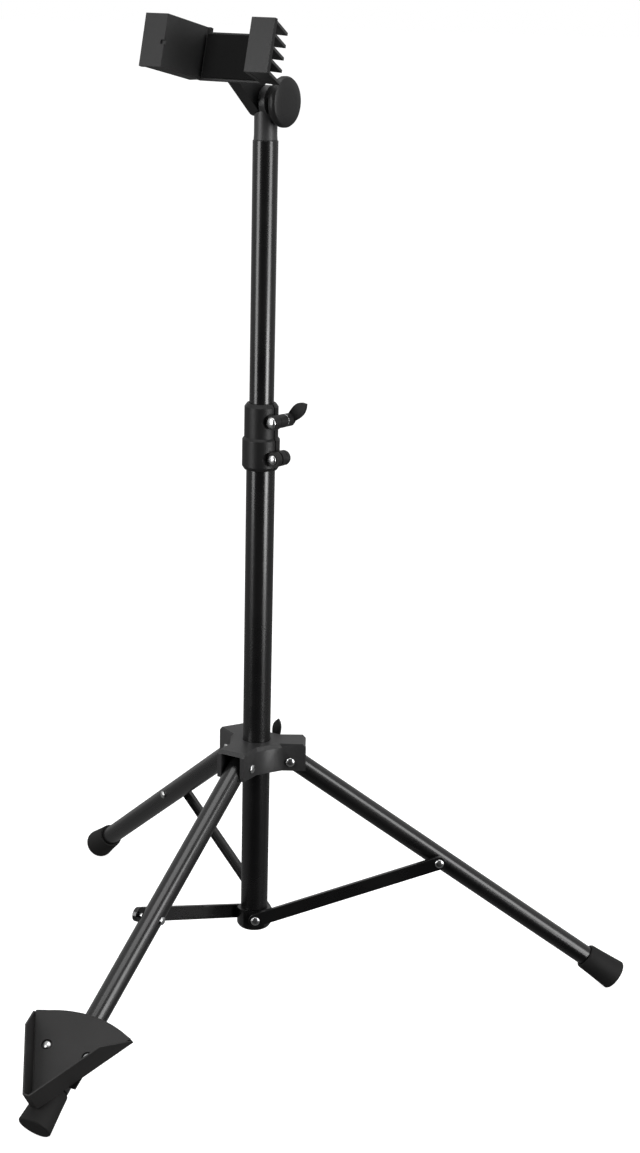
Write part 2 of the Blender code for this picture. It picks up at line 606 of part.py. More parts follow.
def seat_matrix():
    """From the cradle's own frame (across, forward, up) to the head's frame."""
    flip = Matrix(((1, 0, 0, 0), (0, -1, 0, 0), (0, 0, 1, 0), (0, 0, 0, 1)))
    place = Matrix.Translation((0, -CRADLE_REACH, CRADLE_BASE_Z - TILT_Z))
    return place @ Matrix.Rotation(-CRADLE_TILT, 4, 'X') @ flip


def build_cradle(cradle):
    seat = seat_matrix()

    def seated(bm):
        bmesh.ops.transform(bm, matrix=seat, verts=bm.verts)
        return bm

    body = piece("cradle", seated(prism(cradle_plan(), 0, CRADLE_HEIGHT)), "black_plastic", cradle, 25)
    arm_x = CRADLE_BACK_HALF + CRADLE_ARM * sin(CRADLE_FLARE)
    arm_y = CRADLE_ARM * cos(CRADLE_FLARE)
    pitch = (CRADLE_HEIGHT - RIB_SHEET - 2 * RIB_INSET) / (RIB_COUNT - 1)
    for side in (-1, 1):
        rib = [(arm_x + 0.0015, arm_y - 0.002), (arm_x + CRADLE_FLANGE - 0.0006, arm_y - 0.002),
               RIB_TIP, (CRADLE_BACK_HALF + 0.0008, -0.002)]
        ribs = bmesh.new()
        for i in range(RIB_COUNT):
            low = RIB_INSET + pitch * i
            prism([(side * x, y) for x, y in rib], low, low + RIB_SHEET, bm=ribs)
        join(body, seated(ribs))

    low, high = STRUT_SIDE
    back = seat @ Vector((0, -CRADLE_WALL * 0.5, 0))
    back_top = seat @ Vector((0, -CRADLE_WALL * 0.5, 0.8 * CRADLE_BACK_HEIGHT))
    foot = seat @ Vector((0, -CRADLE_WALL * 0.5, 0.19 * CRADLE_BACK_HEIGHT))
    strut = arc((0, 0), KNUCKLE_R, -131, 95, 22) + [(back_top.y, back_top.z), (foot.y, foot.z)]
    join(body, prism(strut, low, high, axis="X"))
    cut(body, rod(TILT_BOLT_R + GAP, -0.03, 0.03, axis="X", sides=12))
    trim = block((-0.5 * CRADLE_BACK_HALF * 1.8, -0.02, CRADLE_BACK_HEIGHT),
                 (0.5 * CRADLE_BACK_HALF * 1.8, 0.01, CRADLE_HEIGHT + 0.01))
    cut(body, seated(trim))
    slot = block((-arm_x - 0.0035, arm_y - 0.0015, 0.0175), (-arm_x + 0.0015, arm_y + 0.01, 0.0205))
    cut(body, seated(slot))

    half = CRADLE_BACK_HALF - 0.0022
    pad = block((-half, GAP, 0.0016), (half, 0.0022, CRADLE_BACK_HEIGHT - 0.0016))
    piece("cradle_back_pad", seated(pad), "rubber", cradle)


def build_tilt_lock(head):
    """Through bolt and knob that pinch the tilt joint."""
    left = STRUT_SIDE[0] - GAP
    bolt = headed_pin(TILT_BOLT_R, left, 0.0180, 0.0062, 0.0032, sides=16)
    bmesh.ops.transform(bolt, matrix=Matrix.Rotation(-pi / 2, 4, 'Z'), verts=bolt.verts)
    piece("tilt_bolt", bolt, "zinc", head)
    start = CHEEK_SIDE[1] + 0.0044 + GAP
    hole = TILT_BOLT_R + GAP
    washer = [(hole, start), (0.0066, start), (0.0066, start + 0.0012), (hole, start + 0.0012)]
    piece("tilt_washer", turned(washer, axis="X", sides=20), "zinc", head)
    face = start + 0.0012 + GAP
    rim = KNOB_R + 0.0004
    knob = [(hole, face), (0.0095, face), (0.0095, face + 0.0016), (rim - 0.0030, face + 0.0016),
            (rim - 0.0010, face + 0.0024), (rim - 0.0001, face + 0.0040), (rim, face + 0.0056),
            (rim - 0.0002, face + 0.0070), (rim - 0.0012, face + 0.0086), (rim - 0.0034, face + 0.0096),
            (0.0100, face + 0.0102), (0, face + 0.0104), (0, 0.0185), (hole, 0.0185)]
    knob = piece("tilt_knob", turned(knob, axis="X", sides=36), "black_plastic", head)
    flats = []
    for k in range(8):
        for a in (-17, 17):
            angle = radians(45 * k + a)
            flats.append((1.035 * rim * cos(angle), 1.035 * rim * sin(angle)))
    combine(knob, prism(flats, face - 0.005, face + 0.02, axis="X"), 'INTERSECT')


# ---- the stand --------------------------------------------------------------------
def main():
    mast = pivot("mast", (0, MAST_Y, 0))
    build_mast(mast)
    build_sleeve(mast)
    build_base_bracket(mast)
    hub = pivot("hub_slide", (0, 0, HUB_PIVOT_Z), parent=mast)
    build_hub(hub)
    legs = {name: build_leg(name, azimuth, hub) for name, azimuth in LEG_AZIMUTHS.items()}
    for name, azimuth in LEG_AZIMUTHS.items():
        build_brace(name, azimuth, mast)
    build_tray(legs["front"])
    head = pivot("head_swivel", (0, 0, TILT_Z), Matrix.Rotation(HEAD_TURN, 3, 'Z'), mast)
    build_yoke(head)
    cradle = pivot("cradle_tilt", (0, 0, 0), parent=head)
    build_cradle(cradle)
    build_tilt_lock(head)


main()
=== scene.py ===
"""Looks for the folding tripod instrument stand: smooth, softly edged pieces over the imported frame.

Each CAD node is stood for by a finer piece of the same dimensions, built in mesh code,
with its edges rounded and a procedural material.  Metres, +Z up, floor at z = 0.
"""

import json
import bpy
import bmesh
from math import acos, asin, atan2, cos, degrees, hypot, pi, radians, sin
from mathutils import Matrix, Vector

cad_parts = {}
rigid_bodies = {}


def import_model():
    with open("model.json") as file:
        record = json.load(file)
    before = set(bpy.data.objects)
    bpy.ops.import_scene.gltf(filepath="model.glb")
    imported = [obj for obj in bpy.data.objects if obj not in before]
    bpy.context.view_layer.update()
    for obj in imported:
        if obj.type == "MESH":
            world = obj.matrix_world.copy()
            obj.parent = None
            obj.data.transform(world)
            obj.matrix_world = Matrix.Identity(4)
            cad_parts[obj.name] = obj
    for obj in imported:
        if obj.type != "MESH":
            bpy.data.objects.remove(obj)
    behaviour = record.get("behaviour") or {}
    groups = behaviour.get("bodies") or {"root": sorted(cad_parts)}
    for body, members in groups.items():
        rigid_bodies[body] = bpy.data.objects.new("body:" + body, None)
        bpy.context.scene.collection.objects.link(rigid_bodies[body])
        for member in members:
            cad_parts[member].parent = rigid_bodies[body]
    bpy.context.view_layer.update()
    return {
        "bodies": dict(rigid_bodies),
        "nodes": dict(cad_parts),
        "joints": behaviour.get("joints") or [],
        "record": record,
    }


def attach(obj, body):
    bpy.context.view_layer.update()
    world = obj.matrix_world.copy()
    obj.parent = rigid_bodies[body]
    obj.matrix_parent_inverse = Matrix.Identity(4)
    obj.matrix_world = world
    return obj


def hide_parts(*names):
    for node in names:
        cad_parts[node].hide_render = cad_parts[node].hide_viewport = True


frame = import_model()

# ---- driving dimensions -----------------------------------------------------------
GAP = 0.0003                    # clearance between touching pieces
PIN_R = 0.0024                  # the stand's rivets and clamp bolts
PIN_HOLE_R = 0.0027

LOWER_TUBE_R = 0.0125
LOWER_TUBE_BORE_R = 0.0112
UPPER_TUBE_R = 0.0106
UPPER_TUBE_BORE_R = 0.0095
LOWER_TUBE_Z = (0.0781, 0.5207)
UPPER_TUBE_Z = (0.3100, 0.7637)

LEG_AZIMUTHS = {"front": -90.0, "right": 30.0, "left": 150.0}
LEG_SLOPE = radians(34.5)       # below the horizontal when spread
LEG_R = 0.00935
LEG_BORE_R = 0.0082
LEG_LENGTH = 0.382              # hub pivot to the end of the foot cap
HUB_PIVOT_R = 0.031
CAP_LENGTH = 0.036
CAP_MOUTH_R = 0.0121
CAP_END_R = 0.0146
FLOOR_TRIM = 0.0008             # how much of each cap's rim is worn flat

HUB_HEIGHT = 0.0257
HUB_PIVOT_UP = 0.0085           # pivot above the hub's underside
HUB_ARM_REACH = 0.045
HUB_ARM_HALF = 0.014
HUB_CORE_R = 0.0272
HUB_CHAMFER = (0.0026, 0.0034)
HUB_SLOT_HALF = 0.0097

BRACE_ON_LEG = 0.170            # brace rivet, measured down the leg from the hub pivot
BRACE_BASE_R = 0.0015
BRACE_BASE_Z = 0.0694
BRACE_HALF = 0.0064
BRACE_SIDE = (0.0130, 0.0170)   # distance of the brace's two sides from the leg's plane
BRACE_SHEET = 0.0012

BRACKET_Z = (0.0574, 0.0778)
BRACKET_FLAT = 0.0127
BRACKET_LOBE_R = 0.0160

SLEEVE_Z = (0.4930, 0.5210, 0.5500)
SLEEVE_R = (0.0163, 0.0147)     # lower and upper section
CLAMP_TURN = radians(-10.0)     # its bolts run square to this azimuth
CLAMP_BOLT = (0.0170, 0.5357)   # distance from the mast's axis, and height
FIXING_BOLT = (0.0186, 0.5042)
CLAMP_BOSSES = ((0.0064, -0.0060, 0.0), (0.0057, -0.001, 0.0095))
FIXING_BOSSES = ((0.0066, -0.0060, 0.0060),)

TRAY_START = 0.2775             # middle of the curved edge, down the leg
TRAY_REST = 0.00975             # the sheet's underside there, above the leg's axis
TRAY_RISE = radians(2.85)       # it rises from there to clear the foot cap
TRAY_SHEET = 0.0015
TRAY_CORNER = (0.0118, 0.0505)  # from the middle of the curved edge: outwards, across
TRAY_APEX = (0.0935, 0.0032)
TRAY_WALL = 0.0185
TRAY_RIVET = (0.0378, 0.0205)
SADDLE_SPAN = (0.3060, 0.3445)
SADDLE_HALF = 0.0245
SADDLE_SHEET = 0.0011

TILT_Z = 0.794
HEAD_TURN = radians(-4.4)
CRADLE_TILT = radians(14.3)
CRADLE_REACH = 0.050            # mast axis to the cradle's back, inside
CRADLE_BASE_Z = 0.8096
CRADLE_BACK_HALF = 0.029
CRADLE_ARM = 0.0401
CRADLE_FLARE = radians(15.9)
CRADLE_FLANGE = 0.0219
CRADLE_HEIGHT = 0.0405
CRADLE_BACK_HEIGHT = 0.0368
CRADLE_WALL = 0.0036
RIB_COUNT = 5
RIB_SHEET = 0.0024
RIB_INSET = 0.0005
RIB_TIP = (0.0440, -0.0060)     # across, and forward of the cradle's back

KNUCKLE_R = 0.0122
STRUT_SIDE = (-0.0117, -0.0003)
CHEEK_SIDE = (0.0003, 0.0066)
TILT_BOLT_R = 0.0028
KNOB_R = 0.0195

# ---- dimensions that follow -------------------------------------------------------
CAP_END_DROP = LEG_LENGTH * sin(LEG_SLOPE) + CAP_END_R * cos(LEG_SLOPE)
HUB_PIVOT_Z = CAP_END_DROP - FLOOR_TRIM
FOOT_R = HUB_PIVOT_R + LEG_LENGTH * cos(LEG_SLOPE)
FRONT_REACH = FOOT_R + CAP_END_R * sin(LEG_SLOPE)
REAR_REACH = 0.5 * FOOT_R + CAP_END_R * hypot(0.5 * sin(LEG_SLOPE), cos(radians(30)))
MAST_Y = 0.5 * (FRONT_REACH - REAR_REACH)
BRACE_RISE = HUB_PIVOT_Z - BRACE_ON_LEG * sin(LEG_SLOPE) - BRACE_BASE_Z
BRACE_RUN = HUB_PIVOT_R + BRACE_ON_LEG * cos(LEG_SLOPE) - BRACE_BASE_R
BRACE_LENGTH = hypot(BRACE_RISE, BRACE_RUN)
BRACE_SLOPE = atan2(BRACE_RISE, BRACE_RUN)


# ---- camera -----------------------------------------------------------------------
CAMERA_PLACE = (0.8958, -1.5058 + MAST_Y, 0.8781)
CAMERA_AZIMUTH = radians(118.39)
CAMERA_PITCH = radians(-21.909)
CAMERA_ROLL = radians(1.737)
CAMERA_LENS = 63.77             # millimetres, on a sensor of this width
CAMERA_SENSOR = 36.0
CAMERA_SHIFT = (-0.01175, 0.2049)
CAMERA_REACH = 50.0


def add_camera():
    """The view: from the front right, a little above the cradle, looking down."""
    data = bpy.data.cameras.new("camera")
    camera = bpy.data.objects.new("camera", data)
    bpy.context.scene.collection.objects.link(camera)
    level = cos(CAMERA_PITCH)
    forward = Vector((cos(CAMERA_AZIMUTH) * level, sin(CAMERA_AZIMUTH) * level, sin(CAMERA_PITCH)))
    side = Vector((sin(CAMERA_AZIMUTH), -cos(CAMERA_AZIMUTH), 0))
    above = side.cross(forward)
    right = side * cos(CAMERA_ROLL) + above * sin(CAMERA_ROLL)
    up = above * cos(CAMERA_ROLL) - side * sin(CAMERA_ROLL)
    turn = Matrix((right, up, -forward)).transposed().to_4x4()
    camera.matrix_world = Matrix.Translation(CAMERA_PLACE) @ turn
    data.sensor_width = CAMERA_SENSOR
    data.lens = CAMERA_LENS
    data.shift_x, data.shift_y = CAMERA_SHIFT
    data.clip_end = CAMERA_REACH
    bpy.context.scene.camera = camera



add_camera()


# ---- materials --------------------------------------------------------------------
def node(tree, kind, **inputs):
    """A shader node with some of its inputs set."""
    made = tree.nodes.new(kind)
    for key, value in inputs.items():
        made.inputs[key.replace("_", " ")].default_value = value
    return made


def finish_material(name, dark, light, rough, metallic=0.0, grain=1400.0, bump=0.04, patch=9.0,
                    coat=0.0, coat_rough=0.1, specular=0.5, stretch=(1, 1, 1), depth=0.0002):
    """A procedural finish: colour and roughness drift over patches, with a fine surface grain."""
    material = bpy.data.materials.new(name)
    material.use_nodes = True
    tree = material.node_tree
    shader = tree.nodes["Principled BSDF"]
    shader.inputs["Metallic"].default_value = metallic
    shader.inputs["Coat Weight"].default_value = coat
    shader.inputs["Coat Roughness"].default_value = coat_rough
    shader.inputs["Specular IOR Level"].default_value = specular
    place = tree.nodes.new("ShaderNodeTexCoord")
    scaled = node(tree, "ShaderNodeMapping", Scale=stretch)
    tree.links.new(place.outputs["Object"], scaled.inputs["Vector"])

    drift = node(tree, "ShaderNodeTexNoise", Scale=patch, Detail=5.0, Roughness=0.62)
    tree.links.new(scaled.outputs["Vector"], drift.inputs["Vector"])
    speck = node(tree, "ShaderNodeTexNoise", Scale=grain, Detail=2.0, Roughness=0.5)
    tree.links.new(scaled.outputs["Vector"], speck.inputs["Vector"])

    colour = tree.nodes.new("ShaderNodeValToRGB")
    colour.color_ramp.elements[0].position = 0.30
    colour.color_ramp.elements[0].color = (*dark, 1.0)
    colour.color_ramp.elements[1].position = 0.72
    colour.color_ramp.elements[1].color = (*light, 1.0)
    tree.links.new(drift.outputs["Fac"], colour.inputs["Fac"])
    tree.links.new(colour.outputs["Color"], shader.inputs["Base Color"])

    blend = tree.nodes.new("ShaderNodeMath")
    blend.operation = 'MULTIPLY_ADD'
    tree.links.new(speck.outputs["Fac"], blend.inputs[0])
    blend.inputs[1].default_value = 0.25
    tree.links.new(drift.outputs["Fac"], blend.inputs[2])
    gloss = node(tree, "ShaderNodeMapRange", From_Min=0.3, From_Max=1.0, To_Min=rough[0], To_Max=rough[1])
    tree.links.new(blend.outputs["Value"], gloss.inputs["Value"])
    tree.links.new(gloss.outputs["Result"], shader.inputs["Roughness"])

    raised = node(tree, "ShaderNodeBump", Strength=bump, Distance=depth)
    tree.links.new(speck.outputs["Fac"], raised.inputs["Height"])
    tree.links.new(raised.outputs["Normal"], shader.inputs["Normal"])
    return material


LOOKS = {
    "powder_coat": finish_material("powder_coat_look", (0.0045, 0.0045, 0.0048), (0.0095, 0.0093, 0.0093),
                                   (0.22, 0.34), grain=900, bump=0.10, coat=0.4, coat_rough=0.12),
    "black_plastic": finish_material("moulded_nylon_look", (0.0085, 0.0085, 0.0088),
                                     (0.0165, 0.0163, 0.0165), (0.36, 0.52), grain=2200, bump=0.25,
                                     specular=0.35),
    # the hub's nylon, lighter than the other black nylon: painted light standing in for the light that
    # falls on its top
    "hub_nylon_painted_light": finish_material("hub_nylon_painted_light_look", (0.020, 0.020, 0.0205), (0.034, 0.0337, 0.034),
                                   (0.34, 0.50), grain=2200, bump=0.25, specular=0.45),
    "tray_coat": finish_material("tray_satin_look", (0.013, 0.0128, 0.0128), (0.024, 0.0232, 0.0228),
                                 (0.42, 0.58), grain=1500, bump=0.25, specular=0.4),
    "rubber": finish_material("rubber_look", (0.0075, 0.0074, 0.0074), (0.0150, 0.0143, 0.0140),
                              (0.62, 0.82), grain=1300, bump=0.5, specular=0.25),
    # the back pad's lining, darker than the black nylon and the rubber: partly a dark soft lining, partly
    # painted shade on the cradle's back plate
    "painted_shade_lining": finish_material("painted_shade_lining_look", (0.004, 0.004, 0.004), (0.008, 0.008, 0.008),
                             (0.75, 0.92), grain=2600, bump=0.9, specular=0.15),
    "zinc": finish_material("zinc_look", (0.60, 0.61, 0.62), (0.80, 0.80, 0.79),
                            (0.18, 0.36), metallic=1.0, grain=700, bump=0.10, patch=60, stretch=(1, 1, 4)),
    "neck_plastic": finish_material("neck_nylon_look", (0.030, 0.030, 0.031), (0.052, 0.0517, 0.052),
                                    (0.34, 0.50), grain=2200, bump=0.2),
}
# nodes whose look is closer than their record slot's
# the hub's look carries painted light from above
CLOSER = {"yoke": "neck_plastic", "hub": "hub_nylon_painted_light", "tray": "tray_coat", "tray_mat": "tray_coat",
          # the back pad's look is the dark lining with painted shade
          "cradle_back_pad": "painted_shade_lining"}
# width of the rounding on sharp edges, by finish and for single nodes
EDGE = {"powder_coat": 0.0004, "black_plastic": 0.0006, "rubber": 0.0007, "zinc": 0.00025}
EDGE_OF = {"cradle": 0.0008, "hub": 0.0019, "height_clamp_sleeve": 0.0008, "yoke": 0.0009,
           "tray": 0.0005, "tilt_knob": 0.0012, "tray_mat": 0.0004, "base_bracket": 0.0008,
           "cradle_back_pad": 0.0006}
SHARP_EDGE = radians(32)
FLAT_ENOUGH = radians(0.4)      # faces this close to one plane are merged
WELD = 1e-6
BODY = {n: body for body, nodes in frame["record"]["behaviour"]["bodies"].items() for n in nodes}
MADE = []


# ---- scene ------------------------------------------------------------------------
def pivot(name, location, rotation=None, parent=None):
    """An empty that holds a piece's own frame while it is built."""
    empty = bpy.data.objects.new(name, None)
    bpy.context.scene.collection.objects.link(empty)
    empty.parent = parent
    turn = rotation.to_4x4() if rotation else Matrix.Identity(4)
    empty.matrix_local = Matrix.Translation(location) @ turn
    MADE.append(empty)
    return empty


def piece(name, bm, finish, parent):
    """Start the piece that stands for a CAD node."""
    bmesh.ops.recalc_face_normals(bm, faces=bm.faces)
    mesh = bpy.data.meshes.new(name + "_build")
    bm.to_mesh(mesh)
    bm.free()
    obj = bpy.data.objects.new(name + "_build", mesh)
    bpy.context.scene.collection.objects.link(obj)
    obj.parent = parent
    obj["stands_for"] = name
    obj["finish"] = finish
    MADE.append(obj)
    return obj


def combine(obj, bm, operation):
    """Cut a shape out of a piece, or join one to it."""
    bmesh.ops.recalc_face_normals(bm, faces=bm.faces)
    mesh = bpy.data.meshes.new(obj.name + "_tool")
    bm.to_mesh(mesh)
    bm.free()
    tool = bpy.data.objects.new(obj.name + "_tool", mesh)
    bpy.context.scene.collection.objects.link(tool)
    tool.parent = obj.parent
    MADE.append(tool)
    modifier = obj.modifiers.new(operation.lower(), 'BOOLEAN')
    modifier.operation = operation
    modifier.solver = 'EXACT'
    modifier.object = tool


def cut(obj, bm):
    combine(obj, bm, 'DIFFERENCE')


def join(obj, bm):
    combine(obj, bm, 'UNION')


def finish_pieces():
    """Bake each piece's cuts, round its edges, give it its finish and let it ride on its body."""
    bpy.context.view_layer.update()
    graph = bpy.context.evaluated_depsgraph_get()
    for obj in [o for o in MADE if "stands_for" in o]:
        name, finish = obj["stands_for"], obj["finish"]
        mesh = bpy.data.meshes.new_from_object(obj.evaluated_get(graph))
        mesh.transform(obj.matrix_world)
        bm = bmesh.new()
        bm.from_mesh(mesh)
        bmesh.ops.remove_doubles(bm, verts=bm.verts, dist=WELD)
        bmesh.ops.dissolve_limit(bm, angle_limit=FLAT_ENOUGH, verts=bm.verts, edges=bm.edges)
        bm.to_mesh(mesh)
        bm.free()
        mesh.shade_smooth()
        shown = bpy.data.objects.new(name + "_look", mesh)
        bpy.context.scene.collection.objects.link(shown)
        mesh.materials.clear()
        mesh.materials.append(LOOKS[CLOSER.get(name, finish)])
        bevel = shown.modifiers.new("edges", 'BEVEL')
        bevel.width = EDGE_OF.get(name, EDGE[finish])
        bevel.segments = 2
        bevel.limit_method = 'ANGLE'
        bevel.angle_limit = SHARP_EDGE
        bevel.harden_normals = True
        bevel.use_clamp_overlap = True
        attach(shown, BODY[name])
        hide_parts(name)
    for obj in MADE:
        bpy.data.objects.remove(obj)


# ---- shapes -----------------------------------------------------------------------
AXIS_TURN = {
    "X": Matrix.Rotation(pi / 2, 4, 'Y'),
    "Y": Matrix.Rotation(-pi / 2, 4, 'X'),
    "Z": Matrix.Identity(4),
}


def rod(radius, start, end, axis="Z", at=(0, 0, 0), end_radius=None, sides=56):
    """A cylinder or cone along one axis."""
    bm = bmesh.new()
    place = Matrix.Translation(at) @ AXIS_TURN[axis] @ Matrix.Translation((0, 0, (start + end) / 2))
    top = radius if end_radius is None else end_radius
    bmesh.ops.create_cone(bm, cap_ends=True, segments=sides, radius1=radius, radius2=top,
                          depth=end - start, matrix=place)
    return bm


def turned(profile, axis="Z", at=(0, 0, 0), sides=72):
    """A closed (distance from axis, position along axis) profile, spun round the axis."""
    bm = bmesh.new()
    verts = [bm.verts.new((r, 0, z)) for r, z in profile]
    edges = [bm.edges.new((a, b)) for a, b in zip(verts, verts[1:] + verts[:1])
             if a.co.x > 1e-7 or b.co.x > 1e-7]
    made = bmesh.ops.spin(bm, geom=verts + edges, cent=(0, 0, 0), axis=(0, 0, 1),
                          angle=2 * pi, steps=sides, use_merge=True)
    bmesh.ops.remove_doubles(bm, verts=bm.verts, dist=1e-7)
    bmesh.ops.transform(bm, matrix=Matrix.Translation(at) @ AXIS_TURN[axis], verts=bm.verts)
    return bm


def block(low, high):
    """A box between two corners."""
    bm = bmesh.new()
    size = [b - a for a, b in zip(low, high)]
    middle = [(a + b) / 2 for a, b in zip(low, high)]
    place = Matrix.Translation(middle) @ Matrix.Diagonal((*size, 1.0))
    bmesh.ops.create_cube(bm, size=1.0, matrix=place)
    return bm


def prism(outline, low, high, axis="Z", bm=None):
    """A flat outline extruded along one axis.

    Outline points are (x, y) for Z, (x, z) for Y and (y, z) for X.
    """
    bm = bm or bmesh.new()
    spot = {"Z": lambda a, b: (a, b, low), "Y": lambda a, b: (a, low, b),
            "X": lambda a, b: (low, a, b)}[axis]
    shift = {"Z": (0, 0, high - low), "Y": (0, high - low, 0), "X": (high - low, 0, 0)}[axis]
    face = bm.faces.new([bm.verts.new(spot(a, b)) for a, b in outline])
    grown = bmesh.ops.extrude_face_region(bm, geom=[face], use_keep_orig=True)
    moved = [g for g in grown["geom"] if isinstance(g, bmesh.types.BMVert)]
    bmesh.ops.translate(bm, vec=shift, verts=moved)
    return bm


def arc(centre, radius, start, end, steps):
    """Points along a circle, from one angle in degrees to another."""
    angles = [radians(start + (end - start) * i / steps) for i in range(steps + 1)]
    return [(centre[0] + radius * cos(a), centre[1] + radius * sin(a)) for a in angles]


def stadium(length, radius, steps=24):
    """A bar outline with round ends centred on 0 and on length."""
    return arc((length, 0), radius, -90, 90, steps) + arc((0, 0), radius, 90, 270, steps)


def dome_head(radius, height, steps=8):
    """Profile of a round rivet or bolt head that sits on z = 0."""
    curve = [(radius * cos(a), height * (0.25 + 0.75 * sin(a)))
             for a in (pi / 2 * i / steps for i in range(steps))]
    return curve + [(0, height), (0, 0), (radius, 0)]


def headed_pin(radius, start, end, head_radius, head_height, sides=32):
    """A rivet along +Y whose head stands beyond its start, at the -Y end."""
    head = [(r, -z) for r, z in dome_head(head_radius, head_height)[:-2]]
    profile = [(r, start + z) for r, z in head]
    profile += [(0, end), (radius, end), (radius, start), (head_radius, start)]
    return turned(profile, axis="Y", sides=sides)


def petal(length, half_width, root, steps=7):
    """One wing of a wing nut: a leaf from root to length, fattest before its middle."""
    upper = []
    for i in range(steps + 1):
        t = i / steps
        upper.append((root + (length - root) * t, half_width * (1 - t ** 3) * (0.55 + 0.65 * t)))
    lower = [(x, -0.8 * y) for x, y in reversed(upper[:-1])]
    return upper + lower


def wing_screw(name, finish, parent, boss, wing, wing_angles, shank):
    """A turned boss along +Y with leaf wings, and a shank towards -Y."""
    boss_radius, boss_length = boss
    shank_radius, shank_length = shank
    wing_length, wing_half = wing
    profile = [(0, -shank_length), (shank_radius, -shank_length), (shank_radius, 0),
               (boss_radius, 0), (boss_radius, 0.75 * boss_length),
               (0.8 * boss_radius, boss_length), (0, boss_length)]
    obj = piece(name, turned(profile, axis="Y", sides=32), finish, parent)
    for angle in wing_angles:
        leaf = prism(petal(wing_length, wing_half, 0.3 * boss_radius), boss_length - 0.0034,
                     boss_length - 0.0008, axis="Y")
        turn = Matrix.Rotation(-radians(angle), 4, 'Y')
        bmesh.ops.transform(leaf, matrix=turn, verts=leaf.verts)
        join(obj, leaf)
    return obj


# ---- mast -------------------------------------------------------------------------
def build_mast(mast):
    """Two tubes that telescope, and the hidden plug that steadies the inner one."""
    low, high = LOWER_TUBE_Z
    ring = [(LOWER_TUBE_R, low), (LOWER_TUBE_BORE_R, low), (LOWER_TUBE_BORE_R, high), (LOWER_TUBE_R, high)]
    piece("lower_tube", turned(ring, sides=96), "powder_coat", mast)

    slider = pivot("height_slide", (0, 0, UPPER_TUBE_Z[0]), parent=mast)
    length = UPPER_TUBE_Z[1] - UPPER_TUBE_Z[0]
    ring = [(UPPER_TUBE_R, 0), (UPPER_TUBE_BORE_R, 0), (UPPER_TUBE_BORE_R, length), (UPPER_TUBE_R, length)]
    piece("upper_tube", turned(ring, sides=96), "powder_coat", slider)

    plug_r = UPPER_TUBE_BORE_R - GAP
    flange_r = LOWER_TUBE_BORE_R - GAP
    plug = [(0, -0.004 - GAP), (flange_r, -0.004 - GAP), (flange_r, -GAP), (plug_r, -GAP),
            (plug_r, 0.011), (plug_r - 0.001, 0.012), (0, 0.012)]
    piece("upper_tube_guide_plug", turned(plug, sides=56), "black_plastic", slider)


def build_sleeve(mast):
    """The height clamp: a split sleeve on top of the lower tube, with two cross bolts."""
    frame = pivot("clamp", (0, 0, 0), Matrix.Rotation(CLAMP_TURN, 3, 'Z'), mast)
    base, step, top = SLEEVE_Z
    wide, slim = SLEEVE_R
    lower_bore = LOWER_TUBE_R + GAP
    upper_bore = UPPER_TUBE_R + GAP
    profile = [(0, base), (wide - 0.002, base), (wide, base + 0.003), (wide, step - 0.002),
               (slim, step), (slim, top - 0.003), (slim - 0.0022, top), (0, top)]
    sleeve = piece("height_clamp_sleeve", turned(profile, sides=72), "black_plastic", frame)
    for (x, z), bosses in ((CLAMP_BOLT, CLAMP_BOSSES), (FIXING_BOLT, FIXING_BOSSES)):
        front, back = bosses[0][1], bosses[-1][2]
        for radius, low, high in bosses:
            low = low - 0.001 if low == front else low
            high = high + 0.001 if high == back else high
            join(sleeve, rod(radius, low, high, axis="Y", at=(x, 0, z), sides=56))
        cut(sleeve, rod(0.0071, -0.03, front, axis="Y", at=(x, 0, z), sides=64))
        cut(sleeve, rod(0.0071, back, 0.03, axis="Y", at=(x, 0, z), sides=64))
    cut(sleeve, rod(upper_bore, step - 0.001, top + 0.01, sides=96))
    cut(sleeve, rod(lower_bore, base - 0.01, step + 0.0003, sides=96))
    cut(sleeve, block((0.005, -0.0006, base - 0.01), (0.03, 0.0006, top + 0.01)))
    for x, z in (CLAMP_BOLT, FIXING_BOLT):
        cut(sleeve, rod(PIN_HOLE_R, -0.02, 0.02, axis="Y", at=(x, 0, z), sides=32))

    x, z = CLAMP_BOLT
    front = CLAMP_BOSSES[0][1] - GAP
    back = CLAMP_BOSSES[-1][2] + GAP
    spot = pivot("clamp_bolt_axis", (x, 0, z), parent=frame)
    piece("height_clamp_bolt", headed_pin(PIN_R, front, back + 0.0082, 0.0050, 0.0028), "zinc", spot)
    washer = [(PIN_HOLE_R, back), (0.0056, back), (0.0056, back + 0.0010), (PIN_HOLE_R, back + 0.0010)]
    piece("height_clamp_washer", turned(washer, axis="Y", sides=32), "zinc", spot)
    nut_at = pivot("wing_nut_axis", (0, back + 0.0013, 0), parent=spot)
    nut = wing_screw("height_wing_nut", "black_plastic", nut_at, (0.0056, 0.0093), (0.0236, 0.0084), (41,),
                     (0.0056, 0.0001))
    cut(nut, rod(PIN_HOLE_R, -0.01, 0.0074, axis="Y", sides=32))

    x, z = FIXING_BOLT
    front = FIXING_BOSSES[0][1] - GAP
    back = FIXING_BOSSES[-1][2] + GAP
    spot = pivot("fixing_bolt_axis", (x, 0, z), parent=frame)
    piece("sleeve_fixing_bolt", headed_pin(PIN_R, front, back + 0.0040, 0.0043, 0.0024), "zinc", spot)
    cap = [(PIN_HOLE_R, back), (0.0061, back), (0.0065, back + 0.0006), (0.0065, back + 0.0030),
           (0.0058, back + 0.0048), (0.0040, back + 0.0060), (0, back + 0.0064), (0, back + 0.0046),
           (PIN_HOLE_R, back + 0.0046)]
    piece("sleeve_cap_nut", turned(cap, axis="Y", sides=48), "black_plastic", spot)


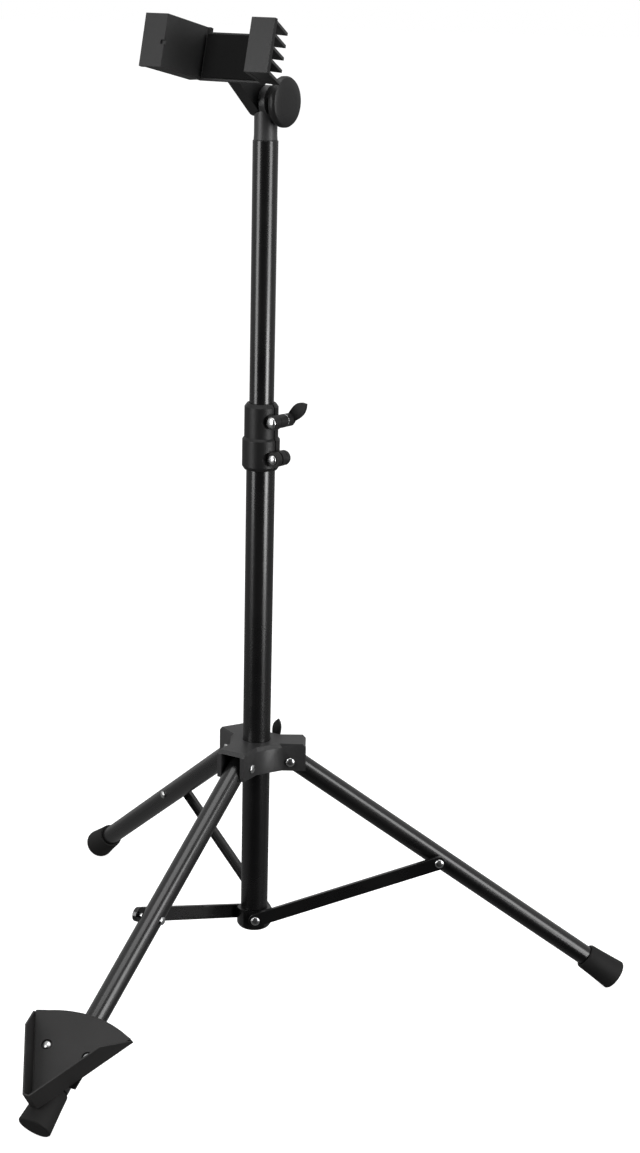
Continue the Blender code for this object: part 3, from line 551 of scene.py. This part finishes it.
# ---- hub and legs -----------------------------------------------------------------
def hub_outline():
    """Outline of the three-armed hub from above."""
    corner_r = hypot(HUB_ARM_REACH, HUB_ARM_HALF)
    corner = degrees(atan2(HUB_ARM_HALF, HUB_ARM_REACH))
    root = degrees(asin(HUB_ARM_HALF / HUB_CORE_R))
    points = []
    for azimuth in sorted(LEG_AZIMUTHS.values()):
        for radius, turn in ((HUB_CORE_R, -root), (corner_r, -corner),
                             (corner_r, corner), (HUB_CORE_R, root)):
            angle = radians(azimuth + turn)
            points.append((radius * cos(angle), radius * sin(angle)))
    return points


def build_hub(hub):
    """Moulded three-way fork that slides on the lower tube; z is from its pivots."""
    low = -HUB_PIVOT_UP
    high = low + HUB_HEIGHT
    inset, rise = HUB_CHAMFER
    bm = prism(hub_outline(), low, high - rise)
    bm.faces.ensure_lookup_table()
    top = [f for f in bm.faces if all(v.co.z > high - rise - 1e-6 for v in f.verts)]
    cap = bmesh.ops.extrude_face_region(bm, geom=top)
    ring = [g for g in cap["geom"] if isinstance(g, bmesh.types.BMVert)]
    bmesh.ops.delete(bm, geom=top, context='FACES_ONLY')
    for vert in ring:
        vert.co.z = high
        flat = Vector((vert.co.x, vert.co.y))
        shrink = flat.normalized() * inset * 1.15
        vert.co.x -= shrink.x
        vert.co.y -= shrink.y
    # its look, set in CLOSER, is the lighter nylon with painted light from above
    body = piece("hub", bm, "black_plastic", hub)
    cut(body, rod(LOWER_TUBE_R + GAP, -0.05, 0.05, sides=96))
    for azimuth in LEG_AZIMUTHS.values():
        turn = Matrix.Rotation(radians(azimuth), 4, 'Z')
        slot = block((0.0172, -HUB_SLOT_HALF, -0.03), (0.06, HUB_SLOT_HALF, 0.0140))
        hole = rod(PIN_HOLE_R, -0.03, 0.03, axis="Y", at=(HUB_PIVOT_R, 0, 0), sides=32)
        for bm in (slot, hole):
            bmesh.ops.transform(bm, matrix=turn, verts=bm.verts)
            cut(body, bm)
    cut(body, rod(0.0034, 0.005, 0.05, axis="Y", at=(0, 0, 0.006), sides=32))

    axis = pivot("hub_lock_axis", (0, 0.0268, 0.006), parent=hub)
    wing_screw("hub_lock_screw", "black_plastic", axis, (0.0052, 0.0105), (0.0205, 0.0062), (84, 264),
               (0.0030, 0.0137))


def build_leg(name, azimuth, hub):
    """A round leg with its foot cap, built along +X from the hub pivot and turned down its slope."""
    turn = Matrix.Rotation(radians(azimuth), 3, 'Z') @ Matrix.Rotation(LEG_SLOPE, 3, 'Y')
    spot = Matrix.Rotation(radians(azimuth), 3, 'Z') @ Vector((HUB_PIVOT_R, 0, 0))
    leg = pivot("leg_pivot_" + name, spot, turn, hub)

    end = LEG_LENGTH - 0.007
    ring = [(LEG_R, -0.0095), (LEG_BORE_R, -0.0095), (LEG_BORE_R, end), (LEG_R, end)]
    tube = piece("leg_" + name, turned(ring, axis="X", sides=64), "powder_coat", leg)
    cut(tube, rod(PIN_HOLE_R, -0.02, 0.02, axis="Y", sides=32))
    cut(tube, rod(PIN_HOLE_R, -0.02, 0.02, axis="Y", at=(BRACE_ON_LEG, 0, 0), sides=32))

    mouth = LEG_LENGTH - CAP_LENGTH
    bore = LEG_R + GAP
    waist = CAP_MOUTH_R + 0.35 * (CAP_END_R - CAP_MOUTH_R)
    profile = [(bore, mouth), (CAP_MOUTH_R - 0.0006, mouth), (CAP_MOUTH_R, mouth + 0.001),
               (waist, mouth + 0.4 * CAP_LENGTH), (CAP_END_R, LEG_LENGTH - 0.0012),
               (CAP_END_R - 0.001, LEG_LENGTH), (0, LEG_LENGTH), (0, end + GAP), (bore, end + GAP)]
    cap = piece("foot_cap_" + name, turned(profile, axis="X", sides=72), "rubber", leg)
    floor = block((-0.05, -0.05, -0.05), (0.05, 0.05, 0))
    ground = Matrix.Rotation(-LEG_SLOPE, 4, 'Y') @ Matrix.Translation((0, 0, -HUB_PIVOT_Z))
    centre = Matrix.Translation((LEG_LENGTH * cos(LEG_SLOPE), 0, 0))
    bmesh.ops.transform(floor, matrix=ground @ centre, verts=floor.verts)
    cut(cap, floor)

    tail = headed_pin(PIN_R, -LEG_R - 0.0006, LEG_R, 0.0036, 0.0018)
    bmesh.ops.transform(tail, matrix=Matrix.Translation((BRACE_ON_LEG, 0, 0))
                        @ Matrix.Rotation(pi, 4, 'Z'), verts=tail.verts)
    piece("leg_rivet_tail_" + name, tail, "zinc", leg)

    upright = pivot("hub_rivet_axis_" + name, spot, Matrix.Rotation(radians(azimuth), 3, 'Z'), hub)
    reach = HUB_ARM_HALF + GAP
    rivet = headed_pin(PIN_R, -reach, reach, 0.0042, 0.0024)
    object_ = piece("hub_rivet_" + name, rivet, "zinc", upright)
    tail = turned(dome_head(0.0040, 0.0018), axis="Y", at=(0, reach - 0.0001, 0), sides=32)
    join(object_, tail)
    return leg


def build_brace(name, azimuth, mast):
    """Pressed channel from the bottom bracket to the leg, beside the leg's plane."""
    heading = Matrix.Rotation(radians(azimuth), 3, 'Z')
    spot = heading @ Vector((BRACE_BASE_R, 0, BRACE_BASE_Z))
    brace = pivot("brace_pivot_" + name, spot, heading @ Matrix.Rotation(-BRACE_SLOPE, 3, 'Y'), mast)
    inner, outer = BRACE_SIDE
    bar = piece("brace_" + name, prism(stadium(BRACE_LENGTH, BRACE_HALF), -outer, -inner, axis="Y"),
                "powder_coat", brace)
    pocket = stadium(BRACE_LENGTH, BRACE_HALF - BRACE_SHEET)
    cut(bar, prism(pocket, -outer + BRACE_SHEET, 0, axis="Y"))
    for x in (0, BRACE_LENGTH):
        cut(bar, rod(PIN_HOLE_R, -0.03, 0.0, axis="Y", at=(x, 0, 0), sides=32))

    head_at = -outer - GAP
    end = pivot("brace_end_" + name, (BRACE_LENGTH, 0, 0), parent=brace)
    piece("brace_rivet_" + name, headed_pin(PIN_R, head_at, -LEG_R - GAP, 0.0042, 0.0020), "zinc", end)
    still = pivot("base_rivet_axis_" + name, spot, heading, mast)
    piece("base_rivet_" + name, headed_pin(PIN_R, head_at, -0.0084, 0.0042, 0.0020), "zinc", still)


def build_base_bracket(mast):
    """Three-sided plug that closes the tube and carries the braces."""
    half = degrees(acos(BRACKET_FLAT / BRACKET_LOBE_R))
    outline = []
    for corner in (0, 120, 240):
        outline += arc((0, 0), BRACKET_LOBE_R, corner - 60 + half, corner + 60 - half, 6)
    low, high = BRACKET_Z
    bracket = piece("base_bracket", prism(outline, low - 0.001, high), "powder_coat", mast)
    cup = [(0, low), (0.0108, low)]
    for a in (15, 30, 45, 60, 75, 90):
        cup.append((0.0108 + 0.0056 * sin(radians(a)), low + 0.0068 * (1 - cos(radians(a)))))
    cup += [(0.0164, high + 0.01), (0, high + 0.01)]
    combine(bracket, turned(cup, sides=48), 'INTERSECT')
    join(bracket, rod(LOWER_TUBE_BORE_R - GAP, high - 0.004, high + 0.016, sides=56))
    for azimuth in LEG_AZIMUTHS.values():
        hole = rod(PIN_HOLE_R, -0.03, -0.0081, axis="Y", at=(BRACE_BASE_R, 0, BRACE_BASE_Z), sides=32)
        bmesh.ops.transform(hole, matrix=Matrix.Rotation(radians(azimuth), 4, 'Z'), verts=hole.verts)
        cut(bracket, hole)


# ---- tray -------------------------------------------------------------------------
def tray_side(offset=0.0):
    """Corner and apex of the tray's +Y side, moved inwards by an offset."""
    corner = Vector(TRAY_CORNER)
    apex = Vector(TRAY_APEX)
    along = (apex - corner).normalized()
    inward = Vector((along.y, -along.x))
    inward = inward if inward.y < 0 else -inward
    return corner + inward * offset, apex + inward * offset


def tray_arc(offset, steps):
    """The tray's curved inner edge, from +Y to -Y."""
    corner, _ = tray_side(offset)
    rise = corner.x - offset
    radius = (corner.y ** 2 + rise ** 2) / (2 * rise)
    half = degrees(asin(corner.y / radius))
    return arc((offset + radius, 0), radius, 180 - half, 180 + half, steps)


def build_tray(leg):
    """Sector-shaped sheet on top of the leg, with walls folded up along its straight sides."""
    seat = pivot("tray_seat", (TRAY_START, 0, TRAY_REST), Matrix.Rotation(-TRAY_RISE, 3, 'Y'), leg)
    corner, apex = tray_side()
    top = TRAY_SHEET + TRAY_WALL
    outline = tray_arc(0, 48) + [(apex.x, -apex.y), (apex.x, apex.y)]
    tray = piece("tray", prism(outline, 0, top), "black_plastic", seat)
    inner_corner, inner_apex = tray_side(TRAY_SHEET)
    along = (inner_apex - inner_corner).normalized()
    far = inner_corner - along * 0.02
    near = inner_corner + along * ((apex.x - TRAY_SHEET - inner_corner.x) / along.x)
    well = [(far.x, far.y), (far.x, -far.y), (near.x, -near.y), (near.x, near.y)]
    cut(tray, prism(well, TRAY_SHEET, 0.05))
    ramp = [(-0.02, TRAY_SHEET), (corner.x - 0.001, TRAY_SHEET),
            (corner.lerp(apex, 0.27).x, top + 0.0001), (-0.02, top + 0.01)]
    cut(tray, prism(ramp, -0.08, 0.08, axis="Y"))
    x, y = TRAY_RIVET
    for side in (-1, 1):
        cut(tray, rod(0.0024, -0.01, 0.03, at=(x, side * y, 0), sides=32))

    inset = TRAY_SHEET + 0.0012
    near = tray_side(inset)[1]
    outline = tray_arc(inset, 48) + [(near.x - 0.003, -near.y - 0.0012), (near.x - 0.003, near.y + 0.0012)]
    floor = TRAY_SHEET + GAP
    mat = piece("tray_mat", prism(outline, floor, floor + 0.0015), "rubber", seat)
    for side in (-1, 1):
        cut(mat, rod(0.0048, -0.01, 0.03, at=(x, side * y, 0), sides=32))
        rivet = [(r, floor + z) for r, z in dome_head(0.0038, 0.0020)[:-2]]
        rivet += [(0, -0.0030), (0.0021, -0.0030), (0.0021, floor), (0.0038, floor)]
        turned_rivet = turned(rivet, at=(x, side * y, 0), sides=32)
        piece("tray_rivet_" + ("left" if side < 0 else "right"), turned_rivet, "zinc", seat)
    build_saddle(leg)


def build_saddle(leg):
    """Strap round the leg whose two feet hold the tray's rivets."""
    inner = LEG_R + GAP
    outer = inner + SADDLE_SHEET
    start, end = SADDLE_SPAN
    strap = [(-outer, 0.018)] + arc((0, 0), outer, 180, 360, 48) + [(outer, 0.018), (inner, 0.018)]
    strap += arc((0, 0), inner, 360, 180, 48) + [(-inner, 0.018)]
    saddle = piece("tray_saddle", prism(strap, start, end, axis="X"), "powder_coat", leg)
    to_leg = Matrix.Translation((TRAY_START, 0, TRAY_REST)) @ Matrix.Rotation(-TRAY_RISE, 4, 'Y')
    reach = 0.0004
    for side in (-1, 1):
        across = sorted((side * (inner + 0.0002), side * SADDLE_HALF))
        foot = block((start - TRAY_START + reach, across[0], -GAP - SADDLE_SHEET),
                     (end - TRAY_START - reach, across[1], 0.0005))
        bmesh.ops.transform(foot, matrix=to_leg, verts=foot.verts)
        join(saddle, foot)
    above = block((-0.05, -0.05, -GAP), (0.12, 0.05, 0.05))
    bmesh.ops.transform(above, matrix=to_leg, verts=above.verts)
    cut(saddle, above)
    x, y = TRAY_RIVET
    for side in (-1, 1):
        hole = rod(0.0024, -0.01, 0.03, at=(x, side * y, 0), sides=32)
        bmesh.ops.transform(hole, matrix=to_leg, verts=hole.verts)
        cut(saddle, hole)


# ---- head -------------------------------------------------------------------------
def build_yoke(head):
    """Neck that turns in the upper tube, with the fixed half of the tilt joint."""
    tube_top = UPPER_TUBE_Z[1] - TILT_Z
    insert = [(0, tube_top - 0.028), (UPPER_TUBE_BORE_R - 0.0012, tube_top - 0.028),
              (UPPER_TUBE_BORE_R - GAP, tube_top - 0.026), (UPPER_TUBE_BORE_R - GAP, tube_top + GAP),
              (0.0099, tube_top + GAP), (0.0096, tube_top + 0.004), (0.0096, -0.003), (0, -0.003)]
    yoke = piece("yoke", turned(insert, sides=72), "black_plastic", head)
    low, high = CHEEK_SIDE
    join(yoke, rod(KNUCKLE_R, low, high, axis="X", sides=64))
    join(yoke, rod(0.0080, high - 0.001, high + 0.0044, axis="X", end_radius=0.0072, sides=48))
    clear = KNUCKLE_R + 0.0006
    cut(yoke, rod(clear, -0.03, low, axis="X", sides=72))
    cut(yoke, rod(TILT_BOLT_R + GAP, -0.03, 0.03, axis="X", sides=32))


def cradle_plan():
    """Outline of the cradle seen from above, half by half: across, and forward."""
    w = CRADLE_BACK_HALF
    arm_x = w + CRADLE_ARM * sin(CRADLE_FLARE)
    arm_y = CRADLE_ARM * cos(CRADLE_FLARE)
    t = CRADLE_WALL
    out_x = t * cos(CRADLE_FLARE)
    out_y = -t * sin(CRADLE_FLARE)
    inner = [(w, 0), (arm_x, arm_y), (arm_x + CRADLE_FLANGE, arm_y)]
    back_lean = (arm_y - t - out_y) / cos(CRADLE_FLARE)
    outer = [(arm_x + CRADLE_FLANGE, arm_y - t),
             (w + out_x + back_lean * sin(CRADLE_FLARE), arm_y - t),
             (w + out_x * 0.9, -t)]
    right = inner + outer
    left = [(-x, y) for x, y in reversed(right)]
    return right + left


def seat_matrix():
    """From the cradle's own frame (across, forward, up) to the head's frame."""
    flip = Matrix(((1, 0, 0, 0), (0, -1, 0, 0), (0, 0, 1, 0), (0, 0, 0, 1)))
    place = Matrix.Translation((0, -CRADLE_REACH, CRADLE_BASE_Z - TILT_Z))
    return place @ Matrix.Rotation(-CRADLE_TILT, 4, 'X') @ flip


def build_cradle(cradle):
    """V-shaped holder with ribs behind its arms, a strut down to the tilt joint and a lined back."""
    seat = seat_matrix()

    def seated(bm):
        bmesh.ops.transform(bm, matrix=seat, verts=bm.verts)
        return bm

    body = piece("cradle", seated(prism(cradle_plan(), 0, CRADLE_HEIGHT)), "black_plastic", cradle)
    arm_x = CRADLE_BACK_HALF + CRADLE_ARM * sin(CRADLE_FLARE)
    arm_y = CRADLE_ARM * cos(CRADLE_FLARE)
    pitch = (CRADLE_HEIGHT - RIB_SHEET - 2 * RIB_INSET) / (RIB_COUNT - 1)
    for side in (-1, 1):
        rib = [(arm_x + 0.0015, arm_y - 0.002), (arm_x + CRADLE_FLANGE - 0.0006, arm_y - 0.002),
               RIB_TIP, (CRADLE_BACK_HALF + 0.0008, -0.002)]
        ribs = bmesh.new()
        for i in range(RIB_COUNT):
            low = RIB_INSET + pitch * i
            prism([(side * x, y) for x, y in rib], low, low + RIB_SHEET, bm=ribs)
        join(body, seated(ribs))

    low, high = STRUT_SIDE
    back = seat @ Vector((0, -CRADLE_WALL * 0.5, 0))
    back_top = seat @ Vector((0, -CRADLE_WALL * 0.5, 0.8 * CRADLE_BACK_HEIGHT))
    foot = seat @ Vector((0, -CRADLE_WALL * 0.5, 0.19 * CRADLE_BACK_HEIGHT))
    strut = arc((0, 0), KNUCKLE_R, -131, 95, 56) + [(back_top.y, back_top.z), (foot.y, foot.z)]
    join(body, prism(strut, low, high, axis="X"))
    cut(body, rod(TILT_BOLT_R + GAP, -0.03, 0.03, axis="X", sides=32))
    trim = block((-0.5 * CRADLE_BACK_HALF * 1.8, -0.02, CRADLE_BACK_HEIGHT),
                 (0.5 * CRADLE_BACK_HALF * 1.8, 0.01, CRADLE_HEIGHT + 0.01))
    cut(body, seated(trim))
    slot = block((-arm_x - 0.0035, arm_y - 0.0015, 0.0175), (-arm_x + 0.0015, arm_y + 0.01, 0.0205))
    cut(body, seated(slot))

    half = CRADLE_BACK_HALF - 0.0022
    pad = block((-half, GAP, 0.0016), (half, 0.0022, CRADLE_BACK_HEIGHT - 0.0016))
    # its look, set in CLOSER, is the dark lining with painted shade
    piece("cradle_back_pad", seated(pad), "rubber", cradle)


def build_tilt_lock(head):
    """Through bolt and knob that pinch the tilt joint."""
    left = STRUT_SIDE[0] - GAP
    bolt = headed_pin(TILT_BOLT_R, left, 0.0180, 0.0062, 0.0032, sides=32)
    bmesh.ops.transform(bolt, matrix=Matrix.Rotation(-pi / 2, 4, 'Z'), verts=bolt.verts)
    piece("tilt_bolt", bolt, "zinc", head)
    start = CHEEK_SIDE[1] + 0.0044 + GAP
    hole = TILT_BOLT_R + GAP
    washer = [(hole, start), (0.0066, start), (0.0066, start + 0.0012), (hole, start + 0.0012)]
    piece("tilt_washer", turned(washer, axis="X", sides=48), "zinc", head)
    face = start + 0.0012 + GAP
    rim = KNOB_R + 0.0004
    knob = [(hole, face), (0.0095, face), (0.0095, face + 0.0016), (rim - 0.0030, face + 0.0016),
            (rim - 0.0010, face + 0.0024), (rim - 0.0001, face + 0.0040), (rim, face + 0.0056),
            (rim - 0.0002, face + 0.0070), (rim - 0.0012, face + 0.0086), (rim - 0.0034, face + 0.0096),
            (0.0100, face + 0.0102), (0, face + 0.0104), (0, 0.0185), (hole, 0.0185)]
    knob = piece("tilt_knob", turned(knob, axis="X", sides=96), "black_plastic", head)
    flats = []
    for k in range(8):
        for a in (-17, 17):
            angle = radians(45 * k + a)
            flats.append((1.035 * rim * cos(angle), 1.035 * rim * sin(angle)))
    combine(knob, prism(flats, face - 0.005, face + 0.02, axis="X"), 'INTERSECT')


# ---- the stand ----------------------------------------------------------------------
def build_stand():
    """Build every piece in its frame, then finish them all."""
    mast = pivot("mast", (0, MAST_Y, 0))
    build_mast(mast)
    build_sleeve(mast)
    build_base_bracket(mast)
    hub = pivot("hub_frame", (0, 0, HUB_PIVOT_Z), parent=mast)
    build_hub(hub)
    legs = {name: build_leg(name, azimuth, hub) for name, azimuth in LEG_AZIMUTHS.items()}
    for name, azimuth in LEG_AZIMUTHS.items():
        build_brace(name, azimuth, mast)
    build_tray(legs["front"])
    head = pivot("head", (0, 0, TILT_Z), Matrix.Rotation(HEAD_TURN, 3, 'Z'), mast)
    build_yoke(head)
    cradle = pivot("cradle_frame", (0, 0, 0), parent=head)
    build_cradle(cradle)
    build_tilt_lock(head)
    finish_pieces()


build_stand()


# ---- studio -------------------------------------------------------------------------
STUDIO_MIDDLE = Vector((0, MAST_Y, 0.45))
TO_RIGHT = Vector((0.88, 0.476, 0))     # level, as the camera sees it
TO_FRONT = Vector((0.476, -0.88, 0))    # level, towards the camera's side
PAPER_HALF = 60.0
PAPER_DROP = 0.0004
PAPER_GLOW = 0.86
WORLD_LEVEL = 0.5


def add_floor():
    """A pale paper floor that glows a little, so that it stays white far away."""
    bm = bmesh.new()
    bmesh.ops.create_grid(bm, x_segments=1, y_segments=1, size=PAPER_HALF)
    mesh = bpy.data.meshes.new("floor")
    bm.to_mesh(mesh)
    bm.free()
    floor = bpy.data.objects.new("floor", mesh)
    floor.location.z = -PAPER_DROP
    bpy.context.scene.collection.objects.link(floor)
    paper = bpy.data.materials.new("floor_paper")
    paper.use_nodes = True
    shader = paper.node_tree.nodes["Principled BSDF"]
    shader.inputs["Base Color"].default_value = (0.50, 0.50, 0.50, 1)
    shader.inputs["Roughness"].default_value = 0.9
    shader.inputs["Specular IOR Level"].default_value = 0.1
    shader.inputs["Emission Color"].default_value = (1, 1, 1, 1)
    shader.inputs["Emission Strength"].default_value = PAPER_GLOW
    mesh.materials.append(paper)
    # the paper shows behind the object but doesn't mirror in its gloss
    floor.visible_glossy = False
    floor.visible_diffuse = False


def map_range(tree, value, low, high, to_low, to_high):
    """A clamped straight ramp from one range to another."""
    ramp = tree.nodes.new("ShaderNodeMapRange")
    for key, number in (("From Min", low), ("From Max", high), ("To Min", to_low), ("To Max", to_high)):
        ramp.inputs[key].default_value = number
    tree.links.new(value, ramp.inputs["Value"])
    return ramp.outputs["Result"]


def add_world():
    """White to the camera; to everything else a soft room, dim in front and below."""
    world = bpy.data.worlds.new("studio")
    bpy.context.scene.world = world
    world.use_nodes = True
    tree = world.node_tree
    background = tree.nodes["Background"]
    place = tree.nodes.new("ShaderNodeTexCoord")
    toward = tree.nodes.new("ShaderNodeVectorMath")
    toward.operation = 'DOT_PRODUCT'
    toward.inputs[1].default_value = TO_FRONT
    tree.links.new(place.outputs["Generated"], toward.inputs[0])
    split = tree.nodes.new("ShaderNodeSeparateXYZ")
    tree.links.new(place.outputs["Generated"], split.inputs["Vector"])
    level = tree.nodes.new("ShaderNodeMath")
    level.operation = 'MULTIPLY'
    tree.links.new(map_range(tree, toward.outputs["Value"], 0.1, 0.8, 1.0, 0.05), level.inputs[0])
    tree.links.new(map_range(tree, split.outputs["Z"], -0.25, 0.05, 0.30, 1.0), level.inputs[1])
    tree.links.new(level.outputs["Value"], background.inputs["Color"])
    background.inputs["Strength"].default_value = WORLD_LEVEL

    backdrop = tree.nodes.new("ShaderNodeBackground")
    backdrop.inputs["Color"].default_value = (1, 1, 1, 1)
    rays = tree.nodes.new("ShaderNodeLightPath")
    either = tree.nodes.new("ShaderNodeMixShader")
    tree.links.new(rays.outputs["Is Camera Ray"], either.inputs["Fac"])
    tree.links.new(background.outputs["Background"], either.inputs[1])
    tree.links.new(backdrop.outputs["Background"], either.inputs[2])
    tree.links.new(either.outputs["Shader"], tree.nodes["World Output"].inputs["Surface"])


def add_light(name, rightwards, forwards, upwards, target, size, power):
    """A rectangular soft light, placed from the studio's middle and aimed at a target."""
    light = bpy.data.lights.new(name, 'AREA')
    light.shape = 'RECTANGLE'
    light.size, light.size_y = size
    light.energy = power
    obj = bpy.data.objects.new(name, light)
    bpy.context.scene.collection.objects.link(obj)
    place = STUDIO_MIDDLE + TO_RIGHT * rightwards + TO_FRONT * forwards + Vector((0, 0, upwards))
    aim = (target - place).to_track_quat('-Z', 'Y')
    obj.matrix_world = Matrix.Translation(place) @ aim.to_matrix().to_4x4()


def add_lights():
    """Tall soft boxes either side of the camera, one overhead, and a low fill at the front right."""
    for name, side in (("softbox_0", -1), ("softbox_2", 1)):
        add_light(name, side * 1.9, 1.25, 0.5, STUDIO_MIDDLE, (0.95, 2.2), 34)
    add_light("overhead", 0, 0, 2.6, STUDIO_MIDDLE, (2.2, 2.2), 34)
    add_light("low_fill", 1.5, 1.3, -0.35, Vector((0, -0.2, 0.1)), (0.8, 0.5), 9)


add_floor()
add_world()
add_lights()
bpy.context.scene.view_settings.view_transform = 'Standard'
